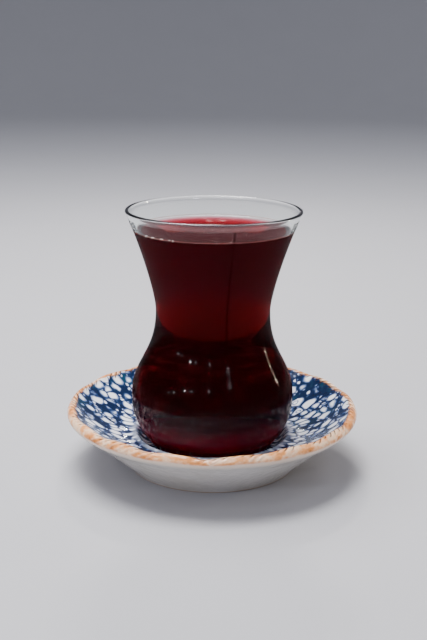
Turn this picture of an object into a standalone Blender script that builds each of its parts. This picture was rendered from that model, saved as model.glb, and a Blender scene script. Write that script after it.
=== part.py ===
"""Turkish tea glass: a waisted glass of black tea standing in its glazed saucer.

Run in Blender: blender --background --python part.py
Units are metres, +Z is up, and the origin is the middle of the saucer's foot.
"""

import math
from itertools import pairwise

import bpy
from mathutils import Vector
from mathutils.geometry import interpolate_bezier

MM = 0.001

# Clearance between pieces that touch, and the distance under which turned points merge
GAP = 0.3 * MM
MERGE_DISTANCE = 0.05 * MM

# Saucer, from the well in its middle out to the rim and back under to the foot
WELL_RADIUS = 23.4 * MM
WELL_FLOOR_HEIGHT = 8.0 * MM
RING_RADIUS = 28.6 * MM
RING_HEIGHT = 12.0 * MM
LIP_INNER_RADIUS = 49.6 * MM
LIP_INNER_HEIGHT = 21.6 * MM
LIP_ROUNDING = 0.35 * MM
CREST_RADIUS = 51.3 * MM
CREST_HEIGHT = 22.9 * MM
SAUCER_RADIUS = 53.4 * MM
SAUCER_WIDEST_HEIGHT = 20.4 * MM
SHOULDER_RADIUS = 50.3 * MM
SHOULDER_HEIGHT = 16.8 * MM
FOOT_OUTER_RADIUS = 31.4 * MM
FOOT_EDGE = 0.5 * MM
FOOT_INNER_RADIUS = 27.5 * MM
FOOT_RECESS_DEPTH = 3.2 * MM
FOOT_RECESS_SLANT = 1.6 * MM

# How the saucer's bends leave and meet those places: how far out and how far up each one pulls
WELL_PULL = (2.4 * MM, 0.0)
RING_INNER_PULL = (-1.4 * MM, -0.2 * MM)
RING_OUTER_PULL = (4.5 * MM, -2.0 * MM)
LIP_PULL = (-5.0 * MM, -5.2 * MM)
CREST_PULL = (1.3 * MM, -0.1 * MM)
WIDEST_UPPER_PULL = (0.0, 0.9 * MM)
WIDEST_LOWER_PULL = (0.0, -1.5 * MM)
SHOULDER_UPPER_PULL = (1.3 * MM, 0.9 * MM)
SHOULDER_LOWER_PULL = (-6.0 * MM, -4.2 * MM)
FOOT_PULL = (5.0 * MM, 4.9 * MM)

# The soft, uneven scallops of the saucer's rim, with the deepest one at the front
LOBES = 16
LOBE_DEPTH = 0.75 * MM
LOBE_SHARPNESS = 1.5
LOBE_WIDENING = 0.7
LOBE_START_HEIGHT = 17.5 * MM
FRONT_DIP_ANGLE = math.radians(-92)
FRONT_DIP_WIDTH = math.radians(17)
FRONT_DIP_DEPTH = 0.75 * MM

# Glass, in heights above its own base
GLASS_BASE_HEIGHT = WELL_FLOOR_HEIGHT + GAP
GLASS_HEIGHT = 86.5 * MM
GLASS_FOOT_RADIUS = 22.4 * MM
GLASS_FOOT_EDGE = 0.8 * MM
BELLY_RADIUS = 29.7 * MM
BELLY_HEIGHT = 18.0 * MM
WAIST_RADIUS = 20.75 * MM
WAIST_HEIGHT = 49.8 * MM
RIM_RADIUS = 31.5 * MM
RIM_WALL = 1.4 * MM
WAIST_WALL = 1.8 * MM
BELLY_WALL = 2.0 * MM
BASE_THICKNESS = 3.0 * MM
BASE_CORNER_RADIUS = 20.6 * MM
BASE_CORNER_RISE = 0.9 * MM
BASE_RING_RADIUS = 18.5 * MM
BASE_HOLLOW = 0.8 * MM

# How the glass's bends leave and meet those places
RIM_PULL = (-5.2 * MM, -11.5 * MM)
ABOVE_WAIST_PULL = (0.0, 6.0 * MM)
BELOW_WAIST_PULL = (0.0, -16.5 * MM)
ABOVE_BELLY_PULL = (0.0, 12.5 * MM)
BELOW_BELLY_PULL = (0.0, -7.0 * MM)
GLASS_FOOT_PULL = (5.5 * MM, 7.5 * MM)
INNER_BELLY_PULL = (0.0, -5.5 * MM)
BASE_CORNER_PULL = (4.4 * MM, 3.4 * MM)
BASE_MIDDLE_PULLS = ((-2.4 * MM, -0.85 * MM), (8.0 * MM, 0.0))
BASE_HOLLOW_PULLS = ((-1.0 * MM, 0.0), (9.0 * MM, 0.0))

# Tea, up to its level above the glass's base, with its edge drawn a little way up the wall
TEA_LEVEL = 79.2 * MM
MENISCUS_RISE = 0.7 * MM
MENISCUS_WIDTH = 1.6 * MM

# How finely the turned shapes are divided
GLASS_STEPS = 56
SAUCER_STEPS = 6 * LOBES


def clear_scene():
    for thing in list(bpy.data.objects):
        bpy.data.objects.remove(thing, do_unlink=True)


def make_collection(name):
    collection = bpy.data.collections.new(name)
    bpy.context.scene.collection.children.link(collection)
    return collection


def make_material(name, colour, roughness, transmission=0.0, ior=1.5):
    """A Principled BSDF with the finish of one sub-part."""
    material = bpy.data.materials.new(name)
    material.use_nodes = True
    shader = material.node_tree.nodes["Principled BSDF"]
    shader.inputs["Base Color"].default_value = (*colour, 1.0)
    shader.inputs["Metallic"].default_value = 0.0
    shader.inputs["Roughness"].default_value = roughness
    shader.inputs["Transmission Weight"].default_value = transmission
    shader.inputs["IOR"].default_value = ior
    return material


def bend(start, start_pull, end_pull, end, count):
    """Points along one Bezier stretch of an outline, its start left out."""
    handles = [(start[0] + start_pull[0], start[1] + start_pull[1]), (end[0] + end_pull[0], end[1] + end_pull[1])]
    corners = [Vector((radius, 0.0, height)) for radius, height in (start, *handles, end)]
    return [(point.x, point.z) for point in interpolate_bezier(*corners, count + 1)[1:]]


def half_round(radius, height, half_width, count):
    """Points over a rounded edge from its inner to its outer side, both ends left out."""
    angles = [math.pi * (1 - step / count) for step in range(1, count)]
    return [(radius + half_width * math.cos(angle), height + half_width * math.sin(angle)) for angle in angles]


def inset(side, distance):
    """A side that runs from a rim down to the axis, moved in by a distance square to itself."""
    moved = []
    for index, (radius, height) in enumerate(side):
        before = Vector(side[max(index - 1, 0)])
        after = Vector(side[min(index + 1, len(side) - 1)])
        along = (after - before).normalized()
        moved.append((max(radius + distance * along.y, 0.0), height - distance * along.x))
    moved[-1] = (0.0, side[-1][1] + distance)
    return moved


def radius_at(side, height):
    """The radius of a side at a height."""
    for high, low in pairwise(side):
        if low[1] <= height <= high[1]:
            share = (height - low[1]) / (high[1] - low[1])
            return low[0] + share * (high[0] - low[0])
    raise ValueError("the height is outside the side")


def turned(name, outline, steps, material, collection, base_height=0.0):
    """A solid turned about the vertical axis, its outline running down the outer side."""
    mesh = bpy.data.meshes.new(name)
    vertices = [(radius, 0.0, height + base_height) for radius, height in outline]
    edges = [(index, index + 1) for index in range(len(vertices) - 1)]
    mesh.from_pydata(vertices, edges, [])
    mesh.materials.append(material)
    solid = bpy.data.objects.new(name, mesh)
    collection.objects.link(solid)
    screw = solid.modifiers.new("Turn", 'SCREW')
    screw.axis = 'Z'
    screw.angle = math.tau
    screw.screw_offset = 0.0
    screw.steps = steps
    screw.render_steps = steps
    screw.use_merge_vertices = True
    screw.merge_threshold = MERGE_DISTANCE
    screw.use_smooth_shade = True
    return solid


def apply_modifiers(thing):
    """Replaces the object's mesh by what its modifiers make of it."""
    evaluated = thing.evaluated_get(bpy.context.evaluated_depsgraph_get())
    mesh = bpy.data.meshes.new_from_object(evaluated)
    thing.modifiers.clear()
    thing.data = mesh


def tulip_side(rim_radius, waist_radius, belly_radius):
    """The tulip outline from just below the rim down to the widest part of the belly."""
    rim = (rim_radius, GLASS_HEIGHT - RIM_WALL / 2)
    waist = (waist_radius, WAIST_HEIGHT)
    belly = (belly_radius, BELLY_HEIGHT)
    flare = bend(rim, RIM_PULL, ABOVE_WAIST_PULL, waist, 7)
    swell = bend(waist, BELOW_WAIST_PULL, ABOVE_BELLY_PULL, belly, 7)
    return [rim] + flare + swell


def glass_outer_side():
    """The outside, from just below the rim down to the foot's rounded edge."""
    side = tulip_side(RIM_RADIUS, WAIST_RADIUS, BELLY_RADIUS)
    edge = (GLASS_FOOT_RADIUS + GLASS_FOOT_EDGE, GLASS_FOOT_EDGE)
    return side + bend(side[-1], BELOW_BELLY_PULL, GLASS_FOOT_PULL, edge, 5)


def glass_inner_side():
    """The inside, from just below the rim down to the middle of the base."""
    side = tulip_side(RIM_RADIUS - RIM_WALL, WAIST_RADIUS - WAIST_WALL, BELLY_RADIUS - BELLY_WALL)
    corner = (BASE_CORNER_RADIUS, BASE_THICKNESS + BASE_CORNER_RISE)
    side += bend(side[-1], INNER_BELLY_PULL, BASE_CORNER_PULL, corner, 5)
    return side + bend(corner, *BASE_MIDDLE_PULLS, (0.0, BASE_THICKNESS), 3)


def make_glass(collection):
    """The clear glass, with a rounded rim, a thin wall and a base that is slightly hollow underneath."""
    material = make_material("clear soda-lime glass", (0.93, 0.96, 0.95), 0.03, transmission=0.9, ior=1.52)
    rim = half_round(RIM_RADIUS - RIM_WALL / 2, GLASS_HEIGHT - RIM_WALL / 2, RIM_WALL / 2, 4)
    ring = (BASE_RING_RADIUS, 0.0)
    base = [(GLASS_FOOT_RADIUS, 0.0), ring] + bend(ring, *BASE_HOLLOW_PULLS, (0.0, BASE_HOLLOW), 3)
    outline = glass_inner_side()[::-1] + rim + glass_outer_side() + base
    turned("glass", outline, GLASS_STEPS, material, collection, GLASS_BASE_HEIGHT)


def make_tea(collection):
    """Tea that fills the glass to its level, a touch clear of the wall."""
    material = make_material("black tea", (0.17, 0.012, 0.014), 0.02, transmission=0.4, ior=1.34)
    wall = inset(glass_inner_side(), GAP)
    edge = (radius_at(wall, TEA_LEVEL + MENISCUS_RISE), TEA_LEVEL + MENISCUS_RISE)
    surface = [(0.0, TEA_LEVEL), (edge[0] - MENISCUS_WIDTH, TEA_LEVEL)]
    surface += [(edge[0] - MENISCUS_WIDTH / 3, TEA_LEVEL + MENISCUS_RISE / 4), edge]
    wetted = [point for point in wall if point[1] < TEA_LEVEL - MENISCUS_RISE]
    turned("tea", surface + wetted, GLASS_STEPS, material, collection, GLASS_BASE_HEIGHT)


def saucer_outline():
    """From the middle of the well out over the rim, and back under to the middle of the foot."""
    well = (WELL_RADIUS, WELL_FLOOR_HEIGHT)
    ring = (RING_RADIUS, RING_HEIGHT)
    lip = (LIP_INNER_RADIUS, LIP_INNER_HEIGHT)
    crest = (CREST_RADIUS, CREST_HEIGHT)
    widest = (SAUCER_RADIUS, SAUCER_WIDEST_HEIGHT)
    shoulder = (SHOULDER_RADIUS, SHOULDER_HEIGHT)
    foot = (FOOT_OUTER_RADIUS, FOOT_EDGE)
    recess_radius = FOOT_INNER_RADIUS - FOOT_RECESS_SLANT
    outline = [(0.0, WELL_FLOOR_HEIGHT), well]
    outline += bend(well, WELL_PULL, RING_INNER_PULL, ring, 4)
    outline += bend(ring, RING_OUTER_PULL, LIP_PULL, lip, 7)
    outline += [((LIP_INNER_RADIUS + CREST_RADIUS) / 2, CREST_HEIGHT - LIP_ROUNDING), crest]
    outline += bend(crest, CREST_PULL, WIDEST_UPPER_PULL, widest, 3)
    outline += bend(widest, WIDEST_LOWER_PULL, SHOULDER_UPPER_PULL, shoulder, 3)
    outline += bend(shoulder, SHOULDER_LOWER_PULL, FOOT_PULL, foot, 4)
    outline += [(FOOT_OUTER_RADIUS - FOOT_EDGE, 0.0), (FOOT_INNER_RADIUS, 0.0)]
    outline += [(recess_radius, FOOT_RECESS_DEPTH), (0.0, FOOT_RECESS_DEPTH)]
    return outline


def scallop_depth(angle):
    """How far the crest of the rim is pressed down at an angle round the saucer."""
    wave = 0.5 + 0.5 * math.cos(LOBES * (angle - FRONT_DIP_ANGLE))
    unevenness = 0.75 + 0.2 * math.sin(3 * angle + 0.8) + 0.15 * math.sin(5 * angle - 1.1)
    turn = math.remainder(angle - FRONT_DIP_ANGLE, math.tau)
    front_dip = FRONT_DIP_DEPTH * math.exp(-(turn / FRONT_DIP_WIDTH) ** 2)
    return LOBE_DEPTH * wave ** LOBE_SHARPNESS * unevenness + front_dip


def press_scallops(mesh):
    """Presses the scallops into the rim: its crest dips, and its inner side draws outwards."""
    for vertex in mesh.vertices:
        place = vertex.co
        share = (place.z - LOBE_START_HEIGHT) / (CREST_HEIGHT - LOBE_START_HEIGHT)
        if share <= 0.0:
            continue
        radius = math.hypot(place.x, place.y)
        depth = scallop_depth(math.atan2(place.y, place.x)) * share ** 2
        inner_share = max(0.0, min(1.0, (CREST_RADIUS + MM - radius) / MM))
        widening = 1.0 + LOBE_WIDENING * depth * inner_share / radius
        place.x *= widening
        place.y *= widening
        place.z -= depth


def make_saucer(collection):
    """The deep saucer, with a well for the glass and a scalloped rim."""
    material = make_material("glazed stoneware", (0.55, 0.58, 0.68), 0.12)
    saucer = turned("saucer", saucer_outline(), SAUCER_STEPS, material, collection)
    apply_modifiers(saucer)
    press_scallops(saucer.data)


def main():
    clear_scene()
    collection = make_collection("turkish_tea_glass")
    make_saucer(collection)
    make_glass(collection)
    make_tea(collection)


main()
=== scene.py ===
"""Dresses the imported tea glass: clear glass, black tea and a glazed saucer, in soft studio light."""

import math
from itertools import accumulate, pairwise

import bmesh
import bpy
from bpy.props import FloatProperty, FloatVectorProperty, IntProperty, PointerProperty
from mathutils import Matrix, Vector, noise
from mathutils.geometry import interpolate_bezier


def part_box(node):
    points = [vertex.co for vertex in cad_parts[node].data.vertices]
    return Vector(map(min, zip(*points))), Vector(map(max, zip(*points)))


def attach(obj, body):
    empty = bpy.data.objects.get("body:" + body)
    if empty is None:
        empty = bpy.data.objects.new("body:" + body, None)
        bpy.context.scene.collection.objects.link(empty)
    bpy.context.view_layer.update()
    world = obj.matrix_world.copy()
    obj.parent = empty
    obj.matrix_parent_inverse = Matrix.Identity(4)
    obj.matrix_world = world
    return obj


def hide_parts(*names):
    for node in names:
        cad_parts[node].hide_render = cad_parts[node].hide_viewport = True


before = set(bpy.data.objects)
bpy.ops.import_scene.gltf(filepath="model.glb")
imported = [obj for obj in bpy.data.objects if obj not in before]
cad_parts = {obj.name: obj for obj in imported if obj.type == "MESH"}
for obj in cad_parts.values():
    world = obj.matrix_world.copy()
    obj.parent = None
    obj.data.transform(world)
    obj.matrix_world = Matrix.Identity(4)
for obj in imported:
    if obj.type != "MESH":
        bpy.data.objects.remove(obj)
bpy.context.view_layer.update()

bl_info = {
    "name": "Turkish Tea Glass",
    "version": (1, 0, 0),
    "blender": (4, 5, 0),
    "location": "3D View > Sidebar > Tea Glass",
    "description": "Makes a glass of black tea on its glazed saucer, and the studio around it",
    "category": "Add Mesh",
}

MM = 0.001
GLASS_LOW, GLASS_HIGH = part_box("glass")
SAUCER_LOW, SAUCER_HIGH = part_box("saucer")
MERGE_DISTANCE = 0.005 * MM
SHARP_ANGLE = math.radians(35)

# The bends of the outlines, each with how far out and how far up its start pulls, the same for its end, and how many
# points it has. The glass's run from its rim down, and its inside shares the first two.
RIM_TO_WAIST = ((-5.2 * MM, -11.5 * MM), (0.0, 6.0 * MM), 36)
WAIST_TO_BELLY = ((0.0, -16.5 * MM), (0.0, 12.5 * MM), 36)
BELLY_TO_FOOT = ((0.0, -7.0 * MM), (5.5 * MM, 7.5 * MM), 22)
FOOT_CORNER = ((-0.3 * MM, -0.4 * MM), (0.4 * MM, 0.0), 5)
UNDER_BASE = ((-1.0 * MM, 0.0), (9.0 * MM, 0.0), 10)
INNER_BELLY_TO_BASE = ((0.0, -5.5 * MM), (4.4 * MM, 3.4 * MM), 22)
INNER_BASE = ((-2.4 * MM, -0.85 * MM), (8.0 * MM, 0.0), 12)

# The saucer's run from its well out over the rim and back under to the foot.
WELL_TO_RING = ((2.4 * MM, 0.0), (-1.4 * MM, -0.2 * MM), 14)
RING_TO_LIP = ((4.5 * MM, -2.0 * MM), (-5.0 * MM, -5.2 * MM), 44)
LIP_TO_TOP = ((0.35 * MM, 0.42 * MM), (-0.35 * MM, -0.22 * MM), 4)
TOP_TO_CREST = ((0.25 * MM, 0.17 * MM), (-0.35 * MM, 0.0), 4)
CREST_TO_WIDEST = ((1.3 * MM, -0.1 * MM), (0.0, 0.9 * MM), 12)
WIDEST_TO_SHOULDER = ((0.0, -1.5 * MM), (1.3 * MM, 0.9 * MM), 10)
SHOULDER_TO_FOOT = ((-6.0 * MM, -4.2 * MM), (5.0 * MM, 4.9 * MM), 24)
SAUCER_FOOT_CORNER = ((-0.05 * MM, -0.25 * MM), (0.25 * MM, 0.0), 4)

# Glass
GLASS_STEPS = 224
RIM_POINTS = 14
GLASS_FOOT_RADIUS = 22.4 * MM
GLASS_FOOT_EDGE = 0.8 * MM
BASE_CORNER_RADIUS = 20.6 * MM
BASE_CORNER_RISE = 0.9 * MM
BASE_RING_RADIUS = 18.5 * MM
BASE_HOLLOW = 0.8 * MM
GLASS_IOR = 1.52
GLASS_ROUGHNESS = 0.07
GLASS_WAVE_LENGTH = 14 * MM
GLASS_WAVE_DEPTH = 0.10 * MM
SEAM_HALF_WIDTH = (0.05 * MM, 0.38 * MM)
SEAM_DEPTH = 0.03 * MM
SEAM_FADE_HEIGHTS = (42 * MM, 60 * MM)

# The glass's finishes, and how much of its mirroring each keeps, so that the pale floor doesn't grey the tea. The
# rim and the foot keep it all, and the wall that the tea wets keeps none.
GLASS_FINISHES = {
    "soda_lime_glass": 1.0, "wetted_glass": 0.0, "filled_glass": 0.08, "belly_glass": 0.38, "clear_wall_glass": 0.5,
}
SHINY_RIM = 2.5 * MM
BELLY_MIRROR_RISE = 1.5 * MM

# Tea. The raised edge's bend pulls by these shares of its width and rise, and the wetted side starts just below it.
TEA_IOR = 1.333
SURFACE_SHINE = 0.14
SHINE_FADE = 0.2 * MM
MENISCUS_PULL_OUT = 0.7
MENISCUS_PULL_UP = 0.6
MENISCUS_POINTS = 10
WETTED_START = 0.2 * MM
SEDIMENT_HEIGHTS = (12.0 * MM, 24.0 * MM)
# The tea's side is painted lighter near the top, between these heights and by this share: painted light
PAINTED_LIGHT_HEIGHTS = (60.0 * MM, 68.0 * MM)
PAINTED_LIGHT_SHARE = 1.8
# The painted highlight along the tea's edge: its half widths and its share
EDGE_HIGHLIGHT_HALF_WIDTH = (0.08 * MM, 0.30 * MM)
EDGE_HIGHLIGHT_SHARE = 0.5

# Bubbles, along an arc of the tea's edge at the front left, in degrees round from +X
BUBBLE_ARC_START = -146
BUBBLE_ARC = 28
BUBBLE_ARC_JITTER = 0.7
BUBBLE_RADIUS = 0.30 * MM
BUBBLE_RADIUS_SPREAD = 0.15 * MM

# Saucer, in distances from the middle and heights
WELL = (23.4 * MM, 8.0 * MM)
RING = (28.6 * MM, 12.0 * MM)
LIP = (49.6 * MM, 21.6 * MM)
LIP_ROUNDING = 0.35 * MM
CREST = (51.3 * MM, 22.9 * MM)
WIDEST_HEIGHT = 20.4 * MM
SHOULDER = (50.3 * MM, 16.8 * MM)
FOOT_OUTER_RADIUS = 31.4 * MM
FOOT_INNER_RADIUS = 27.5 * MM
FOOT_EDGE = 0.5 * MM
FOOT_RECESS_DEPTH = 3.2 * MM
FOOT_RECESS_SLANT = 1.6 * MM
SAUCER_STEPS = 480

# The soft, uneven scallops of the saucer's rim. The waves of unevenness have a share, a count round the rim and a
# start.
LOBE_SHARPNESS = 1.5
LOBE_WIDENING = 0.7
LOBE_START_HEIGHT = 17.5 * MM
LOBE_MEAN = 0.75
LOBE_WAVES = ((0.2, 3, 0.8), (0.15, 5, -1.1))
FRONT_DIP_ANGLE = math.radians(-92)
FRONT_DIP_WIDTH = math.radians(17)
FRONT_DIP_DEPTH = 0.75 * MM
HAND_WAVE = 0.12 * MM
HAND_WAVE_LENGTH = 5.0 * MM

# The saucer's glaze. Patterns on it are rolled up to a tube of this radius, the mean of the dish.
ROLL_RADIUS = 42 * MM
PEBBLE_ROUNDING = 0.14
PEBBLE_SOFTNESS = (-0.05, 0.36)
NOTCHES = 108
NOTCH_SLANT = 0.022 / MM
GLAZE_DEPTH = 0.10 * MM

# Floor, which rises to a wall far off
FLOOR_RADIUS = 1.5
FLOOR_INNER_RADIUS = 0.4
FLOOR_TO_WALL = ((0.5, 0.0), (0.0, -0.5), 16)
WALL_FOOT = (2.3, 0.9)
WALL_TOP = (2.3, 1.6)
FLOOR_STEPS = 96

# Lights: places, sizes and shares of their power. They face the aim.
LIGHT_AIM = (0.0, 0.0, 0.05)
KEY_PLACE, KEY_SIZE = (-0.12, 0.09, 0.76), (0.5, 0.4)
WINDOW_PLACE, WINDOW_SIZE = (0.307, -0.587, 0.434), (0.08, 0.065)
STRIP_PLACE, STRIP_SIZE, STRIP_SHARE = (0.71, 0.25, 0.17), (0.02, 0.16), 3.0
# Four lights wash the wall, each this far out and up, and aimed further out and low down.
WASH_LIGHTS, WASH_SIZE = 4, (0.5, 0.5)
WASH_OUT, WASH_UP = 0.55, 0.95
WASH_AIM_OUT, WASH_AIM_UP = 1.7, 0.1

# Small lamps whose glints lie on the front of the belly: how far round and how high, in degrees, and their share
FRONT_GLINTS = ((-155, 13, 0.5), (-147, 16, 0.5), (-131, 23, 1.6), (-121, 24, 0.6), (-95, 27, 0.6))
FRONT_GLINT_DISTANCE = 0.75
FRONT_GLINT_SIZE = (0.014, 0.014)
# Two rows stand behind, by how far they are aside. The upper one gives the glints along the rim, and the lower one,
# with its lamps by turns a little higher, the ones on the tea.
BACK_GLINTS = (-0.030, -0.008, 0.026)
BACK_GLINT_ROW, BACK_GLINT_SIZE, BACK_GLINT_SHARE = (0.5, 0.52), (0.006, 0.012), 1.2
SURFACE_GLINTS = (-0.005, 0.002, 0.009, 0.018)
SURFACE_GLINT_ROW, SURFACE_GLINT_SIZE, SURFACE_GLINT_SHARE = (0.6, 0.195), (0.005, 0.002), 0.08
SURFACE_GLINT_STEP = 0.006

# Camera, set to the photograph's viewing angle
CAMERA_PLACE = (0.0002, -0.3736, 0.1578)
CAMERA_DOWN = math.radians(15.523)
CAMERA_ROLL = math.radians(0.555)
CAMERA_LENS = 60.0
CAMERA_SENSOR = 36.0
CAMERA_CLIP_START = 0.01


def linear(code):
    """A colour in sRGB hex as the linear numbers that the shaders take."""
    channels = [int(code[start:start + 2], 16) / 255 for start in (0, 2, 4)]
    return tuple(c / 12.92 if c <= 0.04045 else ((c + 0.055) / 1.055) ** 2.4 for c in channels)


def opaque(code):
    """The same with an alpha of one, as a colour socket takes it."""
    return (*linear(code), 1.0)


class GlassSizes(bpy.types.PropertyGroup):
    """Sizes of the glass, in heights above its own base."""

    height: FloatProperty(
        name="Height", description="From the base to the top of the rim",
        default=GLASS_HIGH[2] - GLASS_LOW[2], unit='LENGTH')
    rim_radius: FloatProperty(
        name="Rim radius", description="Outside radius at the rim",
        default=(GLASS_HIGH[0] - GLASS_LOW[0]) / 2, unit='LENGTH')
    waist_radius: FloatProperty(
        name="Waist radius", description="Outside radius at the waist", default=20.75 * MM, unit='LENGTH')
    waist_height: FloatProperty(
        name="Waist height", description="Height of the waist", default=49.8 * MM, unit='LENGTH')
    belly_radius: FloatProperty(
        name="Belly radius", description="Outside radius at the belly", default=29.7 * MM, unit='LENGTH')
    belly_height: FloatProperty(
        name="Belly height", description="Height of the belly", default=18.0 * MM, unit='LENGTH')
    rim_wall: FloatProperty(
        name="Rim wall", description="Thickness of the rounded rim", default=1.4 * MM, unit='LENGTH')
    waist_wall: FloatProperty(
        name="Waist wall", description="Thickness of the wall at the waist", default=1.8 * MM, unit='LENGTH')
    belly_wall: FloatProperty(
        name="Belly wall", description="Thickness of the wall at the belly", default=2.0 * MM, unit='LENGTH')
    base_thickness: FloatProperty(
        name="Base thickness", description="Thickness of the glass under the tea", default=3.0 * MM, unit='LENGTH')
    seam_angle: FloatProperty(
        name="Seam angle", description="Where the mould's seam runs, round from +X",
        default=math.radians(-76.5), subtype='ANGLE')


class TeaSizes(bpy.types.PropertyGroup):
    """Sizes and colour of the tea."""

    level: FloatProperty(
        name="Level", description="Height of the tea's surface above the glass's base",
        default=79.2 * MM, unit='LENGTH')
    meniscus_rise: FloatProperty(
        name="Meniscus rise", description="How far the tea's edge climbs the wall", default=0.7 * MM, unit='LENGTH')
    meniscus_width: FloatProperty(
        name="Meniscus width", description="How wide the raised edge is", default=1.6 * MM, unit='LENGTH')
    reach: FloatProperty(
        name="Reach", description="How far the tea reaches into the wall, so that no air shows between them",
        default=0.15 * MM, unit='LENGTH')
    colour: FloatVectorProperty(
        name="Colour", description="What a little tea lets through", default=linear("E77491"), subtype='COLOR',
        min=0.0, max=1.0)
    strength: FloatProperty(
        name="Strength", description="How strongly the tea takes in light, for each metre", default=430.0, min=0.0)
    cloudiness: FloatProperty(
        name="Cloudiness", description="Share of the light that the tea's fine leaf dust sends back", default=0.035,
        min=0.0, max=1.0)
    sediment: FloatProperty(
        name="Sediment", description="The same share at the bottom, where the dust settles", default=0.55,
        min=0.0, max=1.0)
    bubbles: IntProperty(name="Bubbles", description="How many bubbles lie along the front edge", default=13, min=0)


class SaucerSizes(bpy.types.PropertyGroup):
    """Sizes and colours of the saucer."""

    radius: FloatProperty(
        name="Radius", description="Radius at the widest place",
        default=(SAUCER_HIGH[0] - SAUCER_LOW[0]) / 2, unit='LENGTH')
    lobes: IntProperty(name="Lobes", description="How many scallops the rim has", default=16, min=1)
    lobe_depth: FloatProperty(
        name="Lobe depth", description="How deep a usual scallop is", default=0.75 * MM, unit='LENGTH')
    pebble: FloatProperty(
        name="Pebble", description="Usual width of a pebble in the pattern", default=3.9 * MM, unit='LENGTH')
    white: FloatVectorProperty(
        name="White", description="The pebbles", default=linear("F8F9FF"), subtype='COLOR', min=0.0, max=1.0)
    navy: FloatVectorProperty(
        name="Navy", description="The lines between the pebbles", default=linear("0B1D3F"), subtype='COLOR',
        min=0.0, max=1.0)
    peach: FloatVectorProperty(
        name="Peach", description="The rim's glaze", default=linear("F2A468"), subtype='COLOR', min=0.0, max=1.0)
    cream: FloatVectorProperty(
        name="Cream", description="The underside's glaze", default=linear("D3CDC5"), subtype='COLOR',
        min=0.0, max=1.0)


class StageLooks(bpy.types.PropertyGroup):
    """Floor and light."""

    floor: FloatVectorProperty(
        name="Floor", description="Colour of the paper floor", default=linear("B4B4BA"), subtype='COLOR',
        min=0.0, max=1.0)
    key_power: FloatProperty(name="Key light", description="Power of the light overhead", default=13.5, unit='POWER')
    glint_power: FloatProperty(
        name="Glint light", description="Power of the small lamps", default=0.42, unit='POWER')
    window_power: FloatProperty(
        name="Window light", description="Power of the small window in front", default=0.22, unit='POWER')
    wash_power: FloatProperty(
        name="Wall light", description="Power of each light that washes the wall", default=4.2, unit='POWER')
    sky: FloatProperty(name="Room light", description="Strength of the light all round", default=0.3, min=0.0)


def add_node(tree, kind, sockets=None, **settings):
    """Adds a node, gives it its settings, and fills or links its sockets."""
    node = tree.nodes.new(kind)
    for name, value in settings.items():
        setattr(node, name, value)
    for key, value in (sockets or {}).items():
        if isinstance(value, bpy.types.NodeSocket):
            tree.links.new(value, node.inputs[key])
        else:
            node.inputs[key].default_value = value
    return node


def new_material(name):
    """An empty material: its node tree, its shader and its output."""
    material = bpy.data.materials.new(name)
    material.use_nodes = True
    material.node_tree.nodes.clear()
    shader = add_node(material.node_tree, 'ShaderNodeBsdfPrincipled')
    output = add_node(material.node_tree, 'ShaderNodeOutputMaterial', {"Surface": shader.outputs["BSDF"]})
    return material, material.node_tree, shader, output


def set_stops(ramp, stops):
    """Gives a colour ramp its stops, each a place and a linear colour."""
    elements = ramp.color_ramp.elements
    while len(elements) < len(stops):
        elements.new(1.0)
    for element, (place, colour) in zip(elements, stops):
        element.position = place
        element.color = (*colour, 1.0)


def mark(tree, share, *steps):
    """How strongly a mark in a pattern shows: a share times smooth steps. A step has its value, the two places that
    it runs between, and what it starts and ends with."""
    for value, low, high, start, end in steps:
        step = add_node(
            tree, 'ShaderNodeMapRange',
            {"Value": value, "From Min": low, "From Max": high, "To Min": start, "To Max": end},
            interpolation_type='SMOOTHSTEP').outputs[0]
        share = add_node(tree, 'ShaderNodeMath', {0: share, 1: step}, operation='MULTIPLY').outputs[0]
    return share


def layered(tree, colour, *layers):
    """A colour with others laid over it, each with how strongly it covers."""
    for share, over in layers:
        colour = add_node(tree, 'ShaderNodeMix', {0: share, 6: colour, 7: over}, data_type='RGBA').outputs[2]
    return colour


def bend(start, shape, end):
    """Points along one Bezier stretch of an outline, its start left out."""
    start_pull, end_pull, count = shape
    handles = [(start[0] + start_pull[0], start[1] + start_pull[1]), (end[0] + end_pull[0], end[1] + end_pull[1])]
    corners = [Vector((radius, 0.0, height)) for radius, height in (start, *handles, end)]
    return [(point.x, point.z) for point in interpolate_bezier(*corners, count + 1)[1:]]


def half_round(radius, height, half_width, count):
    """Points over a rounded edge from its inner to its outer side, both ends left out."""
    angles = [math.pi * (1 - step / count) for step in range(1, count)]
    return [(radius + half_width * math.cos(angle), height + half_width * math.sin(angle)) for angle in angles]


def inset(side, distance):
    """A side that runs from a rim down to the axis, moved in by a distance square to itself."""
    moved = []
    for index, (radius, height) in enumerate(side):
        along = (Vector(side[min(index + 1, len(side) - 1)]) - Vector(side[max(index - 1, 0)])).normalized()
        moved.append((max(radius + distance * along.y, 0.0), height - distance * along.x))
    moved[-1] = (0.0, side[-1][1] + distance)
    return moved


def radius_at(side, height):
    """The radius of a side at a height."""
    for high, low in pairwise(side):
        if low[1] <= height <= high[1]:
            return low[0] + (height - low[1]) / (high[1] - low[1]) * (high[0] - low[0])
    raise ValueError("the height is outside the side")


def lengths(outline):
    """How far along the outline each of its points lies."""
    return [0.0, *accumulate(math.dist(a, b) for a, b in pairwise(outline))]


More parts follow.
